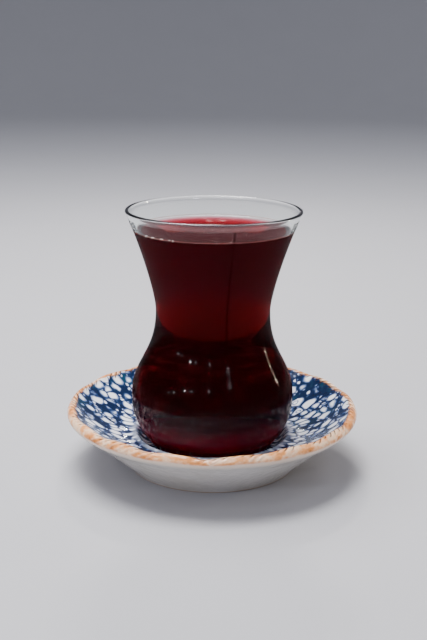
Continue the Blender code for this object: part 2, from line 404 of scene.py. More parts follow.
def spun(outline, steps, base_height=0.0):
    """A bmesh spun from an outline about the vertical axis, which keeps each point's distance along the outline."""
    mesh = bmesh.new()
    along = mesh.verts.layers.float.new("along")
    points = []
    for (radius, height), length in zip(outline, lengths(outline)):
        point = mesh.verts.new((radius, 0.0, height + base_height))
        point[along] = length
        points.append(point)
    edges = [mesh.edges.new(pair) for pair in pairwise(points)]
    bmesh.ops.spin(
        mesh, geom=points + edges, cent=(0, 0, 0), axis=(0, 0, 1), angle=math.tau, steps=steps, use_merge=True)
    bmesh.ops.remove_doubles(mesh, verts=mesh.verts, dist=MERGE_DISTANCE)
    bmesh.ops.recalc_face_normals(mesh, faces=mesh.faces)
    return mesh


def finished(name, mesh, materials, node=None, slot=None):
    """The piece made from a bmesh, smooth except over sharp edges. One with a slot rides on the one body."""
    for face in mesh.faces:
        face.smooth = True
    for edge in mesh.edges:
        edge.smooth = edge.calc_face_angle(0.0) < SHARP_ANGLE
    data = bpy.data.meshes.new(name)
    mesh.to_mesh(data)
    mesh.free()
    for material in materials:
        data.materials.append(material)
    piece = bpy.data.objects.new(name, data)
    bpy.context.scene.collection.objects.link(piece)
    if node:
        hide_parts(node)
    if slot:
        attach(piece, "root")
    return piece


def tulip_side(sizes, rim_radius, waist_radius, belly_radius):
    """The tulip outline from just below the rim down to the widest part of the belly."""
    rim = (rim_radius, sizes.height - sizes.rim_wall / 2)
    waist = (waist_radius, sizes.waist_height)
    belly = (belly_radius, sizes.belly_height)
    return [rim] + bend(rim, RIM_TO_WAIST, waist) + bend(waist, WAIST_TO_BELLY, belly)


def outer_side(sizes):
    """The outside, from just below the rim down over the foot's rounded edge to the middle of the base."""
    side = tulip_side(sizes, sizes.rim_radius, sizes.waist_radius, sizes.belly_radius)
    edge = (GLASS_FOOT_RADIUS + GLASS_FOOT_EDGE, GLASS_FOOT_EDGE)
    side += bend(side[-1], BELLY_TO_FOOT, edge)
    side += bend(edge, FOOT_CORNER, (GLASS_FOOT_RADIUS, 0.0))
    ring = (BASE_RING_RADIUS, 0.0)
    return side + [ring] + bend(ring, UNDER_BASE, (0.0, BASE_HOLLOW))


def inner_side(sizes):
    """The inside, from just below the rim down to the middle of the base."""
    side = tulip_side(
        sizes, sizes.rim_radius - sizes.rim_wall, sizes.waist_radius - sizes.waist_wall,
        sizes.belly_radius - sizes.belly_wall)
    corner = (BASE_CORNER_RADIUS, sizes.base_thickness + BASE_CORNER_RISE)
    side += bend(side[-1], INNER_BELLY_TO_BASE, corner)
    return side + bend(corner, INNER_BASE, (0.0, sizes.base_thickness))


def wetted_side(sizes, tea):
    """The tea's side, which reaches just into the wall of the glass."""
    return inset(inner_side(sizes), -tea.reach)


def soda_lime_glass(name, seam_angle, shine):
    """Soda-lime glass, pressed in a mould: clear with a faint cool tint, fire-polished, so its gloss is nearly sharp
    and gently wavy, and a fine seam is left where the mould's halves met. Shine is how much of its mirroring it
    keeps."""
    material, tree, shader, output = new_material(name)
    shader.inputs["Base Color"].default_value = opaque("FAFCFB")
    shader.inputs["Roughness"].default_value = GLASS_ROUGHNESS
    shader.inputs["IOR"].default_value = GLASS_IOR
    shader.inputs["Transmission Weight"].default_value = 1.0
    place = add_node(tree, 'ShaderNodeTexCoord').outputs["Object"]
    # The seam is about 0.4 mm wide, on the side of the glass that faces its angle.
    across = (-math.sin(seam_angle), math.cos(seam_angle), 0.0)
    facing = (math.cos(seam_angle), math.sin(seam_angle), 0.0)
    aside = add_node(tree, 'ShaderNodeVectorMath', {0: place, 1: across}, operation='DOT_PRODUCT').outputs["Value"]
    aside = add_node(tree, 'ShaderNodeMath', {0: aside}, operation='ABSOLUTE').outputs[0]
    ahead = add_node(tree, 'ShaderNodeVectorMath', {0: place, 1: facing}, operation='DOT_PRODUCT').outputs["Value"]
    near = add_node(tree, 'ShaderNodeMath', {0: ahead, 1: 0.0}, operation='GREATER_THAN').outputs[0]
    seam = mark(tree, near, (aside, *SEAM_HALF_WIDTH, 1.0, 0.0))
    # It is polished away from the waist down.
    height = add_node(tree, 'ShaderNodeSeparateXYZ', {0: place}).outputs["Z"]
    upper = add_node(tree, 'ShaderNodeMapRange', {
        "Value": height, "From Min": SEAM_FADE_HEIGHTS[0], "From Max": SEAM_FADE_HEIGHTS[1]}).outputs[0]
    seam = add_node(tree, 'ShaderNodeMath', {0: seam, 1: upper}, operation='MULTIPLY').outputs[0]
    wave = add_node(tree, 'ShaderNodeTexNoise', {
        "Vector": place, "Scale": 1 / GLASS_WAVE_LENGTH, "Detail": 1.0}).outputs[0]
    waves = add_node(tree, 'ShaderNodeBump', {"Height": wave, "Distance": GLASS_WAVE_DEPTH, "Strength": 1.0})
    bump = add_node(tree, 'ShaderNodeBump', {
        "Height": seam, "Distance": SEAM_DEPTH, "Strength": 1.0, "Normal": waves.outputs[0]}).outputs[0]
    tree.links.new(bump, shader.inputs["Normal"])
    if shine < 1.0:
        # Along the seam the see-through colour is greyed: painted shade for the dark line that the seam's ridge shows.
        tint = layered(tree, opaque("FAFCFB"), (seam, opaque("7C7678")))
        clear = add_node(tree, 'ShaderNodeBsdfRefraction', {
            "Color": tint, "Roughness": 0.0, "IOR": GLASS_IOR, "Normal": bump}).outputs[0]
        both = add_node(tree, 'ShaderNodeMixShader', {0: shine, 1: clear, 2: shader.outputs[0]}).outputs[0]
        tree.links.new(both, output.inputs["Surface"])
    return material


def black_tea(tea, meniscus, side):
    """Black tea, strained: a clear liquid that takes in green and blue within a few millimetres and red within a few
    centimetres, so it is crimson at its edges and nearly black through the middle. Its level surface mirrors the room
    a little, the raised edge mirrors it fully, and the side that wets the glass doesn't mirror at all. Meniscus and
    side are where, along the outline, the raised edge and the wetted side start."""
    material, tree, shader, output = new_material("black_tea")
    shader.inputs["Base Color"].default_value = (1.0, 1.0, 1.0, 1.0)
    shader.inputs["Roughness"].default_value = 0.0
    shader.inputs["IOR"].default_value = TEA_IOR
    shader.inputs["Transmission Weight"].default_value = 1.0
    along = add_node(tree, 'ShaderNodeAttribute', attribute_name="along").outputs["Fac"]
    shine = add_node(tree, 'ShaderNodeMapRange', {
        "Value": along, "From Min": meniscus - SHINE_FADE, "From Max": meniscus + SHINE_FADE,
        "To Min": SURFACE_SHINE, "To Max": 1.0}).outputs[0]
    open_air = add_node(tree, 'ShaderNodeMath', {0: along, 1: side}, operation='LESS_THAN').outputs[0]
    shine = add_node(tree, 'ShaderNodeMath', {0: shine, 1: open_air}, operation='MULTIPLY').outputs[0]
    # Leaf dust settles at the bottom. Near the top of the wetted side the share is raised: painted light, for the
    # light that comes in over the rim.
    place = add_node(tree, 'ShaderNodeTexCoord').outputs["Object"]
    height = add_node(tree, 'ShaderNodeSeparateXYZ', {0: place}).outputs["Z"]
    settled = add_node(tree, 'ShaderNodeMapRange', {
        "Value": height, "From Min": SEDIMENT_HEIGHTS[0], "From Max": SEDIMENT_HEIGHTS[1],
        "To Min": tea.sediment, "To Max": tea.cloudiness}, interpolation_type='SMOOTHSTEP').outputs[0]
    wet = add_node(tree, 'ShaderNodeMath', {0: along, 1: side}, operation='GREATER_THAN').outputs[0]
    painted_top_light = mark(tree, wet, (height, *PAINTED_LIGHT_HEIGHTS, 0.0, PAINTED_LIGHT_SHARE * tea.cloudiness))
    dust = add_node(tree, 'ShaderNodeMath', {0: settled, 1: painted_top_light}, operation='ADD').outputs[0]
    clear = add_node(tree, 'ShaderNodeBsdfRefraction', {"Roughness": 0.0, "IOR": TEA_IOR}).outputs[0]
    cloudy = add_node(tree, 'ShaderNodeBsdfDiffuse', {"Color": opaque("E80C34")}).outputs[0]
    liquid = add_node(tree, 'ShaderNodeMixShader', {0: dust, 1: clear, 2: cloudy}).outputs[0]
    liquid = add_node(tree, 'ShaderNodeMixShader', {0: shine, 1: liquid, 2: shader.outputs[0]}).outputs[0]
    # A painted highlight: a thin pale pink line where the tea meets the glass, for the light that the raised edge
    # catches.
    aside = add_node(tree, 'ShaderNodeMath', {0: along, 1: side}, operation='SUBTRACT').outputs[0]
    aside = add_node(tree, 'ShaderNodeMath', {0: aside}, operation='ABSOLUTE').outputs[0]
    line = add_node(tree, 'ShaderNodeMapRange', {
        "Value": aside, "From Min": EDGE_HIGHLIGHT_HALF_WIDTH[0], "From Max": EDGE_HIGHLIGHT_HALF_WIDTH[1],
        "To Min": EDGE_HIGHLIGHT_SHARE, "To Max": 0.0}).outputs[0]
    painted_edge_highlight = add_node(tree, 'ShaderNodeBsdfDiffuse', {"Color": opaque("F4B4A8")}).outputs[0]
    surface = add_node(tree, 'ShaderNodeMixShader', {0: line, 1: liquid, 2: painted_edge_highlight}).outputs[0]
    tree.links.new(surface, output.inputs["Surface"])
    inside = add_node(tree, 'ShaderNodeVolumeAbsorption', {"Color": (*tea.colour, 1.0), "Density": tea.strength})
    tree.links.new(inside.outputs[0], output.inputs["Volume"])
    return material


def tea_bubble():
    """Bubble film on tea: half clear, in patches of pale pink and white; the pale colour is partly a painted
    highlight, so each bubble shows as a light dot.
    """
    material, tree, shader, _ = new_material("tea_bubble_film")
    place = add_node(tree, 'ShaderNodeTexCoord').outputs["Object"]
    patch = add_node(tree, 'ShaderNodeTexNoise', {"Vector": place, "Scale": 1 / (2 * MM)})
    ramp = add_node(tree, 'ShaderNodeValToRGB', {0: patch.outputs[0]})
    set_stops(ramp, [(0.3, linear("F1D2CC")), (0.7, linear("FFF4F0"))])
    tree.links.new(ramp.outputs[0], shader.inputs["Base Color"])
    shader.inputs["Roughness"].default_value = 0.05
    shader.inputs["IOR"].default_value = 1.33
    shader.inputs["Transmission Weight"].default_value = 0.45
    return material


def rolled(tree, place, along, stretch):
    """Where a point lies once the saucer's side is rolled up to a tube, so that a pattern follows the side."""
    flat = add_node(tree, 'ShaderNodeVectorMath', {0: place, 1: (1.0, 1.0, 0.0)}, operation='MULTIPLY').outputs[0]
    out = add_node(tree, 'ShaderNodeVectorMath', {0: flat}, operation='NORMALIZE').outputs[0]
    out = add_node(tree, 'ShaderNodeVectorMath', {0: out, "Scale": ROLL_RADIUS}, operation='SCALE').outputs[0]
    up = add_node(tree, 'ShaderNodeMath', {0: along, 1: stretch}, operation='MULTIPLY').outputs[0]
    up = add_node(tree, 'ShaderNodeCombineXYZ', {"Z": up}).outputs[0]
    return add_node(tree, 'ShaderNodeVectorMath', {0: out, 1: up}, operation='ADD').outputs[0]


def pebbles(tree, spot, width, smallest, largest):
    """How far inside a rounded pebble a point lies, from 0 at its edge to 1, its distance from the pebble's middle,
    and a random share of its own for each pebble."""
    near = add_node(tree, 'ShaderNodeTexVoronoi', {"Vector": spot, "Scale": 1 / width}, feature='F1')
    middle = near.outputs["Distance"]
    next_middle = add_node(
        tree, 'ShaderNodeTexVoronoi', {"Vector": spot, "Scale": 1 / width}, feature='F2').outputs["Distance"]
    chance = add_node(tree, 'ShaderNodeSeparateColor', {0: near.outputs["Color"]}).outputs[0]
    reach = add_node(tree, 'ShaderNodeMapRange', {"Value": chance, "To Min": smallest, "To Max": largest},
                     interpolation_type='SMOOTHSTEP').outputs[0]
    to_gap = add_node(tree, 'ShaderNodeMath', {0: next_middle, 1: middle}, operation='SUBTRACT').outputs[0]
    to_edge = add_node(tree, 'ShaderNodeMath', {0: reach, 1: middle}, operation='SUBTRACT').outputs[0]
    inside = add_node(
        tree, 'ShaderNodeMath', {0: to_gap, 1: to_edge, 2: PEBBLE_ROUNDING}, operation='SMOOTH_MIN').outputs[0]
    inside = add_node(
        tree, 'ShaderNodeMapRange', {"Value": inside, "From Min": PEBBLE_SOFTNESS[0], "From Max": PEBBLE_SOFTNESS[1]},
        interpolation_type='SMOOTHSTEP').outputs[0]
    return inside, middle, chance


def pebble_paint(tree, saucer, place, along, wash, ring):
    """Wet cobalt brushed round pale pebbles: its colour, and how far inside a pebble each point lies."""
    # The brush wobbles every 6 mm, up to about 1 mm either way.
    wobble = add_node(tree, 'ShaderNodeTexNoise', {"Vector": place, "Scale": 1 / (6 * MM), "Detail": 2.0})
    wobble = add_node(tree, 'ShaderNodeVectorMath', {0: wobble.outputs["Color"], 1: (0.5, 0.5, 0.5)},
                      operation='SUBTRACT').outputs[0]
    wobble = add_node(tree, 'ShaderNodeVectorMath', {0: wobble, "Scale": 2.4 * MM}, operation='SCALE').outputs[0]
    spot = add_node(tree, 'ShaderNodeVectorMath', {0: rolled(tree, place, along, 0.74), 1: wobble},
                    operation='ADD').outputs[0]
    large, middle, chance = pebbles(tree, spot, saucer.pebble, 0.47, 0.85)
    small, _, small_chance = pebbles(tree, spot, saucer.pebble * 0.42, 0.15, 0.7)
    # Small dots fill the gaps, and a tenth of the pebbles give way to clusters of them.
    gone = add_node(tree, 'ShaderNodeMapRange', {
        "Value": chance, "From Min": 0.08, "From Max": 0.10, "To Min": 1.0, "To Max": 0.0},
        interpolation_type='SMOOTHSTEP').outputs[0]
    gap = add_node(tree, 'ShaderNodeMapRange', {
        "Value": large, "From Min": 0.0, "From Max": 0.25, "To Min": 1.0, "To Max": 0.0},
        interpolation_type='SMOOTHSTEP').outputs[0]
    free = add_node(tree, 'ShaderNodeMath', {0: gap, 1: gone}, operation='MAXIMUM').outputs[0]
    here = add_node(tree, 'ShaderNodeMath', {0: 1.0, 1: gone}, operation='SUBTRACT').outputs[0]
    large = add_node(tree, 'ShaderNodeMath', {0: large, 1: here}, operation='MULTIPLY').outputs[0]
    small = add_node(tree, 'ShaderNodeMath', {0: small, 1: free}, operation='MULTIPLY').outputs[0]
    small = mark(tree, small, (small_chance, 0.2, 0.8, 0.2, 0.85))
    inside = add_node(tree, 'ShaderNodeMath', {0: large, 1: small}, operation='MAXIMUM').outputs[0]
    # A few pebbles carry a painted ring.
    circle = mark(tree, 0.7, (middle, 0.14, 0.22, 0.0, 1.0), (middle, 0.24, 0.34, 1.0, 0.0),
                  (chance, 0.86, 0.88, 0.0, 1.0))
    inside = add_node(tree, 'ShaderNodeMath', {0: inside, 1: circle}, operation='SUBTRACT').outputs[0]
    # The cobalt bleeds into each pebble, and it lies thin in some places and thick in others.
    thin = add_node(tree, 'ShaderNodeMapRange', {
        "Value": wash, "From Min": 0.3, "From Max": 0.7, "To Min": 0.07, "To Max": -0.12},
        interpolation_type='SMOOTHSTEP').outputs[0]
    bleed = add_node(tree, 'ShaderNodeMath', {0: inside, 1: thin}, operation='ADD').outputs[0]
    paint = add_node(tree, 'ShaderNodeValToRGB', {0: bleed})
    set_stops(paint, [(0.02, saucer.navy), (0.22, linear("1F345C")), (0.44, linear("6478A2")),
                      (0.66, linear("B4BBD4")), (0.90, saucer.white)])
    green = mark(tree, 1.0, (wash, 0.52, 0.66, 0.0, 1.0), (inside, 0.1, 0.5, 0.35, 0.0))
    # The glaze is painted pale along the ring that holds the glass: partly wear, partly a painted highlight along the
    # ring's ridge.
    worn_and_highlight = mark(tree, 1.0, (along, ring - 1.6 * MM, ring - 0.2 * MM, 0.0, 1.0),
                (along, ring + 0.4 * MM, ring + 2.2 * MM, 1.0, 0.0), (wash, 0.35, 0.6, 0.2, 0.75))
    return layered(tree, paint.outputs[0], (green, opaque("1E5468")), (worn_and_highlight, opaque("B9C0D4"))), inside


def glazed_stoneware(saucer, marks):
    """Stoneware, painted and dipped in clear glaze: wet cobalt brushed round pale pebbles, which bleeds at their
    edges, an iron-toned rim where the glaze runs thin, and a plain cream underside."""
    material, tree, shader, _ = new_material("glazed_stoneware")
    crest, widest = marks["crest"], marks["widest"]
    place = add_node(tree, 'ShaderNodeTexCoord').outputs["Object"]
    sides = add_node(tree, 'ShaderNodeSeparateXYZ', {0: place}).outputs
    along = add_node(tree, 'ShaderNodeAttribute', attribute_name="along").outputs["Fac"]
    wash = add_node(tree, 'ShaderNodeTexNoise', {"Vector": place, "Scale": 1 / (9 * MM), "Detail": 3.0}).outputs[0]
    painted, inside = pebble_paint(tree, saucer, place, along, wash, marks["ring"])

    # Rim: peach glaze over iron-toned clay, whose edge wanders every 4 mm by up to about 1 mm
    wander = add_node(tree, 'ShaderNodeTexNoise', {
        "Vector": rolled(tree, place, along, 0.5), "Scale": 1 / (4 * MM), "Detail": 2.0}).outputs[0]
    shift = add_node(tree, 'ShaderNodeMath', {0: wander, 1: 0.5}, operation='SUBTRACT').outputs[0]
    shift = add_node(tree, 'ShaderNodeMath', {0: shift, 1: 3.6 * MM}, operation='MULTIPLY').outputs[0]
    edge = add_node(tree, 'ShaderNodeMath', {0: along, 1: shift}, operation='ADD').outputs[0]
    on_rim = add_node(tree, 'ShaderNodeMapRange', {
        "Value": edge, "From Min": crest - 1.5 * MM, "From Max": crest - 0.6 * MM},
        interpolation_type='SMOOTHSTEP').outputs[0]
    lower_edge = add_node(
        tree, 'ShaderNodeMath', {0: shift, 1: 0.25, 2: along}, operation='MULTIPLY_ADD').outputs[0]
    above = add_node(tree, 'ShaderNodeMapRange', {
        "Value": lower_edge, "From Min": widest - 0.1 * MM, "From Max": widest + 0.8 * MM, "To Min": 1.0,
        "To Max": 0.0}, interpolation_type='SMOOTHSTEP').outputs[0]
    patch = add_node(tree, 'ShaderNodeTexNoise', {
        "Vector": rolled(tree, place, along, 1.0), "Scale": 1 / (5 * MM), "Detail": 3.0,
        "Roughness": 0.6}).outputs[0]
    peach = add_node(tree, 'ShaderNodeValToRGB', {0: patch})
    set_stops(peach, [(0.30, linear("9C5624")), (0.41, linear("D88A4C")), (0.50, saucer.peach),
                      (0.62, linear("FFDAB6")), (0.76, linear("DC8C60"))])

    # It is pressed across with short slanted strokes, one about every 3 mm, and stands up a little between them; the
    # raised beads are painted paler, a painted highlight on their tops.
    turn = add_node(tree, 'ShaderNodeMath', {0: sides["Y"], 1: sides["X"]}, operation='ARCTAN2').outputs[0]
    past = add_node(tree, 'ShaderNodeMath', {0: along, 1: crest}, operation='SUBTRACT').outputs[0]
    turn = add_node(
        tree, 'ShaderNodeMath', {0: past, 1: NOTCH_SLANT, 2: turn}, operation='MULTIPLY_ADD').outputs[0]
    uneven = add_node(tree, 'ShaderNodeMath', {0: wander, 1: 1.4}, operation='MULTIPLY').outputs[0]
    count = add_node(
        tree, 'ShaderNodeMath', {0: turn, 1: 2 * NOTCHES / math.tau, 2: uneven}, operation='MULTIPLY_ADD').outputs[0]
    notch = add_node(tree, 'ShaderNodeMath', {0: count, 1: 1.0}, operation='PINGPONG').outputs[0]
    groove = mark(tree, 1.0, (notch, 0.10, 0.38, 1.0, 0.0), (wash, 0.37, 0.50, 0.0, 1.0),
                  (edge, crest + 0.6 * MM, crest + 1.6 * MM, 1.0, 0.0),
                  (edge, crest - 2.4 * MM, crest - 1.6 * MM, 0.0, 1.0))
    bead = add_node(tree, 'ShaderNodeMath', {0: on_rim, 1: above}, operation='MULTIPLY').outputs[0]
    bead = mark(tree, bead, (notch, 0.3, 0.9, 0.0, 1.0), (wash, 0.35, 0.65, 0.0, 1.0))
    # Painted highlight: the beads' tops are painted paler.
    pale = add_node(tree, 'ShaderNodeMath', {0: bead, 1: 0.22}, operation='MULTIPLY').outputs[0]
    dark = add_node(tree, 'ShaderNodeMath', {0: groove, 1: 0.92}, operation='MULTIPLY').outputs[0]
    # A thin rusty line runs where the rim's glaze meets the paint.
    border = mark(tree, on_rim, (edge, crest - 0.8 * MM, crest - 0.3 * MM, 0.5, 0.0))
    rim = layered(tree, peach.outputs[0], (pale, opaque("FFE4D0")))
    upper = layered(tree, painted, (on_rim, rim), (border, opaque("7A4327")), (dark, opaque("3C221A")))

    # Underside: plain cream with a faint cloud and flecks, warmer under the rim, and bare clay on the foot's ring
    cloud = add_node(tree, 'ShaderNodeTexNoise', {"Vector": place, "Scale": 1 / (16 * MM), "Detail": 4.0}).outputs[0]
    cloud = add_node(tree, 'ShaderNodeMapRange', {
        "Value": cloud, "From Min": 0.3, "From Max": 0.7}, interpolation_type='SMOOTHSTEP').outputs[0]
    fleck = add_node(tree, 'ShaderNodeTexVoronoi', {"Vector": place, "Scale": 1 / (3 * MM)}).outputs["Distance"]
    fleck = add_node(tree, 'ShaderNodeMapRange', {
        "Value": fleck, "From Min": 0.03, "From Max": 0.07, "To Min": 0.45, "To Max": 0.0},
        interpolation_type='SMOOTHSTEP').outputs[0]
    warmth = add_node(tree, 'ShaderNodeMapRange', {
        "Value": along, "From Min": widest + 0.8 * MM, "From Max": widest + 4.5 * MM, "To Min": 0.6, "To Max": 0.0},
        interpolation_type='SMOOTHSTEP').outputs[0]
    bare = add_node(tree, 'ShaderNodeMapRange', {
        "Value": sides["Z"], "From Min": 0.35 * MM, "From Max": 0.6 * MM, "To Min": 1.0, "To Max": 0.0},
        interpolation_type='SMOOTHSTEP').outputs[0]
    under = layered(tree, (*saucer.cream, 1.0), (cloud, opaque("DEDAD6")), (fleck, opaque("8C7A6A")),
                    (warmth, opaque("EDCFB6")))
    colour = layered(tree, under, (above, upper), (bare, opaque("B79E88")))
    tree.links.new(colour, shader.inputs["Base Color"])

    gloss = add_node(tree, 'ShaderNodeMapRange', {
        "Value": wash, "From Min": 0.3, "From Max": 0.7, "To Min": 0.07, "To Max": 0.16},
        interpolation_type='SMOOTHSTEP').outputs[0]
    gloss = add_node(tree, 'ShaderNodeMath', {0: bare, 1: 0.6, 2: gloss}, operation='MULTIPLY_ADD').outputs[0]
    tree.links.new(gloss, shader.inputs["Roughness"])
    shader.inputs["IOR"].default_value = 1.5
    shader.inputs["Specular IOR Level"].default_value = 0.4

    # The glaze has a soft orange peel 3 mm long, stands up over the pebbles and the beads, and dips in the strokes.
    relief = add_node(tree, 'ShaderNodeTexNoise', {"Vector": place, "Scale": 1 / (3 * MM), "Detail": 1.0}).outputs[0]
    for form, height in ((inside, 0.5), (groove, -1.5), (bead, 1.4)):
        relief = add_node(
            tree, 'ShaderNodeMath', {0: form, 1: height, 2: relief}, operation='MULTIPLY_ADD').outputs[0]
    bump = add_node(tree, 'ShaderNodeBump', {"Height": relief, "Distance": GLAZE_DEPTH, "Strength": 1.0})
    tree.links.new(bump.outputs[0], shader.inputs["Normal"])
    return material


def studio_paper(colour):
    """Seamless paper, pulped and rolled: matt, with a grain too fine for more than a slight unevenness."""
    material, tree, shader, _ = new_material("studio_paper")
    place = add_node(tree, 'ShaderNodeTexCoord').outputs["Object"]
    grain = add_node(tree, 'ShaderNodeTexNoise', {"Vector": place, "Scale": 1 / (60 * MM), "Detail": 3.0}).outputs[0]
    darker = tuple(0.96 * channel for channel in colour)
    tone = layered(tree, (*darker, 1.0), (grain, (*colour, 1.0)))
    tree.links.new(tone, shader.inputs["Base Color"])
    shader.inputs["Roughness"].default_value = 0.7
    return material


class TEA_GLASS_OT_glass(bpy.types.Operator):
    """Makes the clear waisted glass"""

    bl_idname = "tea_glass.make_glass"
    bl_label = "Make the glass"

    def execute(self, context):
        sizes = context.scene.tea_glass
        half_wall = sizes.rim_wall / 2
        rim = half_round(sizes.rim_radius - half_wall, sizes.height - half_wall, half_wall, RIM_POINTS)
        inner = inner_side(sizes)[::-1]
        outline = inner + rim + outer_side(sizes)
        mesh = spun(outline, GLASS_STEPS, GLASS_LOW[2])
        # The outline starts at the middle of the inside, so the wall that the tea wets comes first along it.
        level = context.scene.tea_glass_tea.level
        wet_end = next(length for length, point in zip(lengths(outline), outline) if point[1] > level)
        rim_start = lengths(outline)[len(inner)]
        along = mesh.verts.layers.float["along"]
        finishes = list(GLASS_FINISHES)
        for face in mesh.faces:
            nearest = min(vertex[along] for vertex in face.verts)
            height = face.calc_center_median().z - GLASS_LOW[2]
            below_rim = height < sizes.height - SHINY_RIM
            if nearest < wet_end:
                face.material_index = finishes.index("wetted_glass")
            elif nearest < rim_start and below_rim:
                face.material_index = finishes.index("clear_wall_glass")
            elif sizes.belly_height + BELLY_MIRROR_RISE < height and below_rim:
                face.material_index = finishes.index("filled_glass")
            elif below_rim and height > GLASS_FOOT_EDGE:
                face.material_index = finishes.index("belly_glass")
        materials = [soda_lime_glass(name, sizes.seam_angle, shine) for name, shine in GLASS_FINISHES.items()]
        finished("tulip_glass", mesh, materials, "glass", "clear_glass")
        return {'FINISHED'}


class TEA_GLASS_OT_tea(bpy.types.Operator):
    """Makes the tea, with its edge drawn up the wall"""

    bl_idname = "tea_glass.make_tea"
    bl_label = "Make the tea"

    def execute(self, context):
        tea = context.scene.tea_glass_tea
        side = wetted_side(context.scene.tea_glass, tea)
        top = tea.level + tea.meniscus_rise
        edge = (radius_at(side, top), top)
        start = (edge[0] - tea.reach - tea.meniscus_width, tea.level)
        surface = [(0.0, tea.level), (start[0] / 2, tea.level), start]
        pulls = ((tea.meniscus_width * MENISCUS_PULL_OUT, 0.0), (-tea.reach, -tea.meniscus_rise * MENISCUS_PULL_UP))
        surface += bend(start, (*pulls, MENISCUS_POINTS), edge)
        wetted = [point for point in side if point[1] < top - WETTED_START]
        mesh = spun(surface + wetted, GLASS_STEPS, GLASS_LOW[2])
        finished("tea_fill", mesh, [black_tea(tea, start[0], lengths(surface)[-1])], "tea", "black_tea")
        return {'FINISHED'}


class TEA_GLASS_OT_bubbles(bpy.types.Operator):
    """Makes the small bubbles that cling to the glass at the tea's edge"""

    bl_idname = "tea_glass.make_bubbles"
    bl_label = "Make the bubbles"

    def execute(self, context):
        sizes, tea = context.scene.tea_glass, context.scene.tea_glass_tea
        level = tea.level + tea.meniscus_rise * 0.45
        wall = radius_at(inner_side(sizes), level)
        mesh = bmesh.new()
        for index in range(tea.bubbles):
            # Sines at unlike steps make the bubbles uneven.
            angle = math.radians(BUBBLE_ARC_START + BUBBLE_ARC * index / tea.bubbles)
            angle += math.radians(BUBBLE_ARC_JITTER * math.sin(9.1 * index))
            radius = BUBBLE_RADIUS + BUBBLE_RADIUS_SPREAD * math.sin(4.7 * index + 1.0)
            away = wall - radius * (0.9 + 0.5 * math.sin(7.3 * index) ** 2)
            place = Vector((away * math.cos(angle), away * math.sin(angle), GLASS_LOW[2] + level + radius * 0.25))
            bmesh.ops.create_icosphere(mesh, subdivisions=2, radius=radius, matrix=Matrix.Translation(place))
        finished("edge_bubbles", mesh, [tea_bubble()], slot="black_tea")
        return {'FINISHED'}


def saucer_outline(saucer):
    """From the middle of the well out over the rim and back under, and how far along it named places lie."""
    widest = (saucer.radius, WIDEST_HEIGHT)
    foot = (FOOT_OUTER_RADIUS, FOOT_EDGE)
    flat = (FOOT_OUTER_RADIUS - FOOT_EDGE, 0.0)
    recess = (FOOT_INNER_RADIUS - FOOT_RECESS_SLANT, FOOT_RECESS_DEPTH)
    top = ((LIP[0] + CREST[0]) / 2, CREST[1] - LIP_ROUNDING)
    outline = [(0.0, WELL[1]), WELL]
    outline += bend(WELL, WELL_TO_RING, RING)
    outline += bend(RING, RING_TO_LIP, LIP)
    outline += bend(LIP, LIP_TO_TOP, top)
    outline += bend(top, TOP_TO_CREST, CREST)
    outline += bend(CREST, CREST_TO_WIDEST, widest)
    outline += bend(widest, WIDEST_TO_SHOULDER, SHOULDER)
    outline += bend(SHOULDER, SHOULDER_TO_FOOT, foot)
    outline += bend(foot, SAUCER_FOOT_CORNER, flat)
    outline += [(FOOT_INNER_RADIUS, 0.0), recess, (0.0, FOOT_RECESS_DEPTH)]
    reached = lengths(outline)
    marks = {
        name: reached[min(range(len(outline)), key=lambda index: math.dist(outline[index], place))]
        for name, place in {"ring": RING, "crest": CREST, "widest": widest}.items()
    }
    return outline, marks


def scallop_depth(saucer, angle):
    """How far the crest of the rim is pressed down at an angle round the saucer."""
    wave = 0.5 + 0.5 * math.cos(saucer.lobes * (angle - FRONT_DIP_ANGLE))
    unevenness = sum((share * math.sin(count * angle + start) for share, count, start in LOBE_WAVES), LOBE_MEAN)
    turn = math.remainder(angle - FRONT_DIP_ANGLE, math.tau)
    front_dip = FRONT_DIP_DEPTH * math.exp(-(turn / FRONT_DIP_WIDTH) ** 2)
    return saucer.lobe_depth * wave ** LOBE_SHARPNESS * unevenness + front_dip


def press_scallops(mesh, saucer):
    """Presses the scallops and the small waves of handwork into the rim."""
    for vertex in mesh.verts:
        place = vertex.co
        share = (place.z - LOBE_START_HEIGHT) / (CREST[1] - LOBE_START_HEIGHT)
        if share <= 0.0:
            continue
        radius = math.hypot(place.x, place.y)
        wave = noise.noise(Vector((place.x, place.y, 0.0)) / HAND_WAVE_LENGTH)
        depth = scallop_depth(saucer, math.atan2(place.y, place.x)) * share ** 2 + HAND_WAVE * (1 + wave) * share ** 2
        inner_share = max(0.0, min(1.0, (CREST[0] + MM - radius) / MM))
        widening = 1.0 + LOBE_WIDENING * depth * inner_share / radius
        place.x *= widening
        place.y *= widening
        place.z -= depth


class TEA_GLASS_OT_saucer(bpy.types.Operator):
    """Makes the deep glazed saucer with its scalloped rim"""

    bl_idname = "tea_glass.make_saucer"
    bl_label = "Make the saucer"

    def execute(self, context):
        saucer = context.scene.tea_glass_saucer
        outline, marks = saucer_outline(saucer)
        mesh = spun(outline, SAUCER_STEPS)
        press_scallops(mesh, saucer)
        finished("pebble_saucer", mesh, [glazed_stoneware(saucer, marks)], "saucer", "glazed_stoneware")
        return {'FINISHED'}


def add_light(name, place, size, power, colour, aim=LIGHT_AIM):
    """A soft rectangular light that faces a point."""
    light = bpy.data.lights.new(name, 'AREA')
    light.shape = 'RECTANGLE'
    light.size, light.size_y = size
    light.energy = power
    light.color = linear(colour)
    lamp = bpy.data.objects.new(name, light)
    lamp.location = place
    lamp.rotation_mode = 'QUATERNION'
    lamp.rotation_quaternion = (Vector(place) - Vector(aim)).to_track_quat('Z', 'Y')
    lamp.visible_camera = False
    bpy.context.scene.collection.objects.link(lamp)


